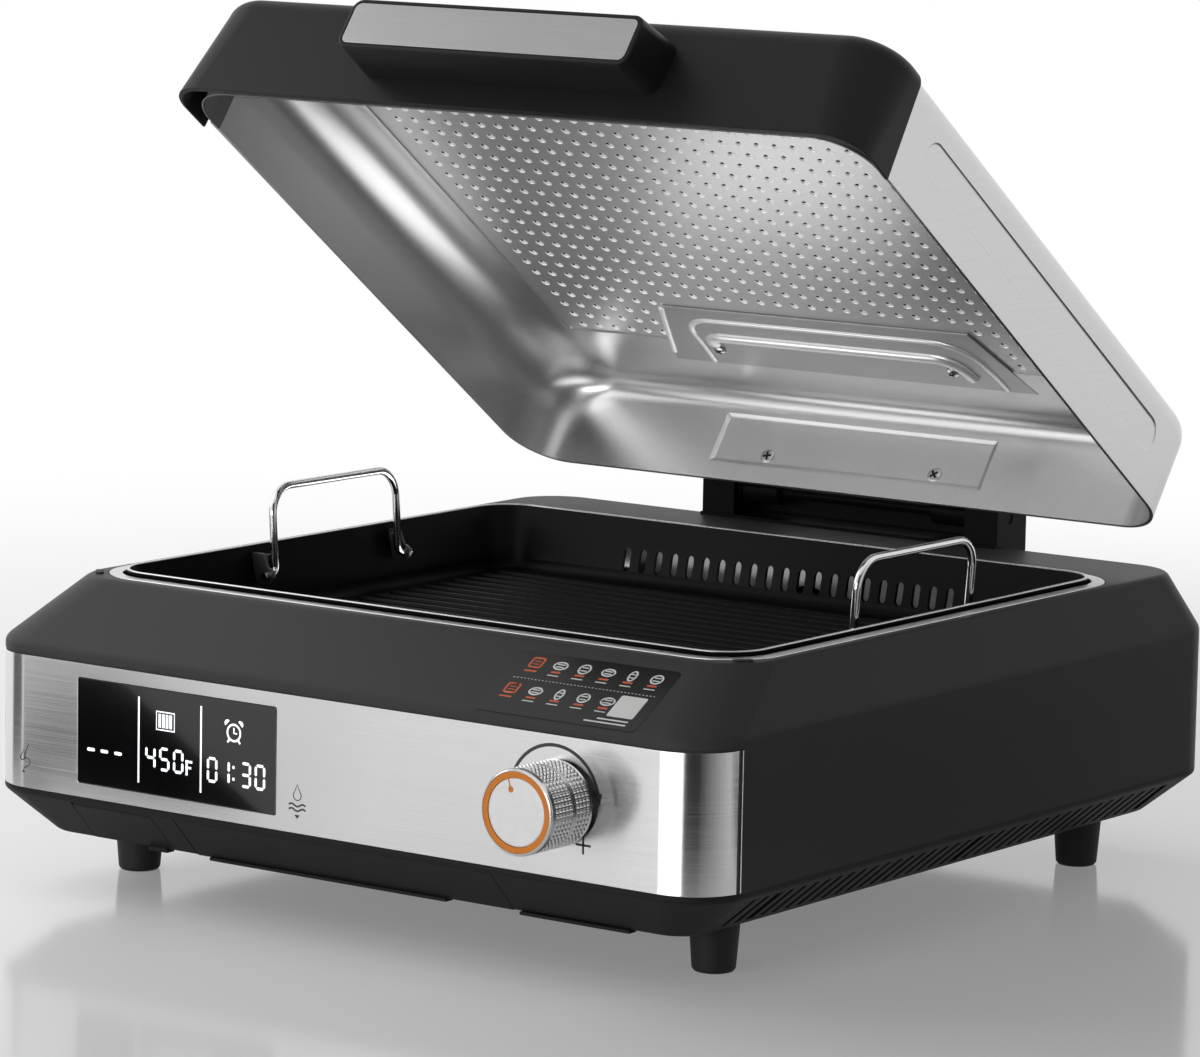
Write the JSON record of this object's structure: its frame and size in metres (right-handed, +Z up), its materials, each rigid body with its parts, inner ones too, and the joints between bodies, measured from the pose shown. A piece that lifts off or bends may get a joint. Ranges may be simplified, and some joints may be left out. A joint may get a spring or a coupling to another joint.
{
  "type": "smokeless indoor grill",
  "caption": "Countertop electric grill with a hinged steel lid, ridged lift-out pan with wire handles, steel control band with dark display and push-turn knob, drip drawer and suction fan.",
  "frame": {"origin": "on the table, under the middle of the overall box in the stored pose", "axes": "+Z up, -Y towards the user at the control band, +X to the user's right"},
  "size_m": [0.43, 0.492, 0.43],
  "materials": {
    "casing_charcoal": "satin moulded plastic",
    "casing_black": "fine-grained moulded plastic",
    "hinge_black": "satin black paint",
    "socket_black": "moulded plastic",
    "socket_grey": "moulded plastic",
    "band_steel": "brushed lengthwise",
    "trim_steel": "satin",
    "well_steel": "plain sheet",
    "lid_steel": "brushed",
    "liner_steel": "drawn and brushed",
    "reflector_steel": "perforated and brushed",
    "display_black": "polished dark window",
    "circuit_green": "printed circuit board",
    "knob_chrome": "fine knurl",
    "knob_orange": "gloss",
    "knob_silver": "satin",
    "screw_steel": "plated",
    "heater_dark": "oxidised tube",
    "pan_nonstick": "black non-stick coating",
    "wire_chrome": "bright",
    "fan_plastic": "moulded plastic",
    "motor_metal": "zinc plated",
    "tray_aluminium": "satin",
    "foot_rubber": "matte",
    "lid_black": "satin black",
    "plate_aluminium": "brushed lengthwise"
  },
  "bodies": {
    "base": {"lower_housing": "casing_black", "upper_shell": "casing_charcoal", "fascia_band": "band_steel", "display_glass": "display_black", "display_board": "circuit_green", "knob_board": "circuit_green", "encoder": "socket_grey", "power_board": "circuit_green", "power_inlet": "socket_black", "trim_ring": "trim_steel", "well_liner": "well_steel", "heating_element": "heater_dark", "element_supports": "well_steel", "temperature_sensor": "screw_steel", "grill_pan": "pan_nonstick", "handle_ears": "well_steel", "smoke_duct": "well_steel", "fan_housing": "fan_plastic", "fan_motor": "motor_metal", "tray_runners": "well_steel", "flap_pin": "screw_steel", "probe_socket": "socket_grey", "foot_front_left": "foot_rubber", "foot_front_right": "foot_rubber", "foot_rear_left": "foot_rubber", "foot_rear_right": "foot_rubber", "foot_screws": "screw_steel", "housing_screws": "screw_steel", "rim_bumpers": "foot_rubber", "hinge_tower": "hinge_black", "hinge_pin": "screw_steel", "friction_washers": "screw_steel"},
    "lid": {"lid_shell": "lid_steel", "lid_liner": "liner_steel", "reflector_panel": "reflector_steel", "lid_stiffener": "liner_steel", "stiffener_screws": "screw_steel", "lid_bezel": "lid_black", "lid_handle": "lid_black", "handle_plate": "plate_aluminium", "handle_screws": "screw_steel", "hinge_bracket": "hinge_black", "hinge_backing": "liner_steel", "hinge_screws": "screw_steel"},
    "dial_shaft": {"encoder_shaft": "screw_steel"},
    "dial": {"knob_sleeve": "knob_chrome", "knob_ring": "knob_orange", "knob_face": "knob_silver"},
    "left_wire": {"left_handle": "wire_chrome"},
    "right_wire": {"right_handle": "wire_chrome"},
    "tray": {"drip_tray": "tray_aluminium", "tray_front": "casing_black"},
    "flap": {"probe_flap": "casing_black"},
    "fan": {"fan_impeller": "fan_plastic", "fan_shaft": "screw_steel"}
  },
  "joints": [
    {"name": "lid_hinge", "type": "hinge", "parent": "base", "child": "lid", "pos_m": [0, 0.2296, 0.1605], "axis": [-1, 0, 0], "range_deg": [-35.8, 44]},
    {"name": "knob_turn", "type": "hinge", "parent": "base", "child": "dial_shaft", "pos_m": [0.134, -0.236, 0.0832], "axis": [0, 1, 0], "continuous": true},
    {"name": "knob_push", "type": "slide", "parent": "dial_shaft", "child": "dial", "axis": [0, 1, 0], "range_m": [0, 0.0015], "stiffness_N_per_m": 2500},
    {"name": "left_handle_fold", "type": "hinge", "parent": "base", "child": "left_wire", "pos_m": [-0.17372, 0.011, 0.1337], "axis": [0, 1, 0], "range_deg": [0, 78]},
    {"name": "right_handle_fold", "type": "hinge", "parent": "base", "child": "right_wire", "pos_m": [0.17372, 0.011, 0.1337], "axis": [0, -1, 0], "range_deg": [0, 78]},
    {"name": "tray_slide", "type": "slide", "parent": "base", "child": "tray", "axis": [0, -1, 0], "range_m": [0, 0.25]},
    {"name": "flap_hinge", "type": "hinge", "parent": "base", "child": "flap", "pos_m": [-0.1335, -0.20786, 0.04405], "axis": [-1, 0, 0], "range_deg": [0, 90]},
    {"name": "fan_spin", "type": "hinge", "parent": "base", "child": "fan", "pos_m": [0, 0.1969, 0.095], "axis": [0, 1, 0], "continuous": true}
  ]
}
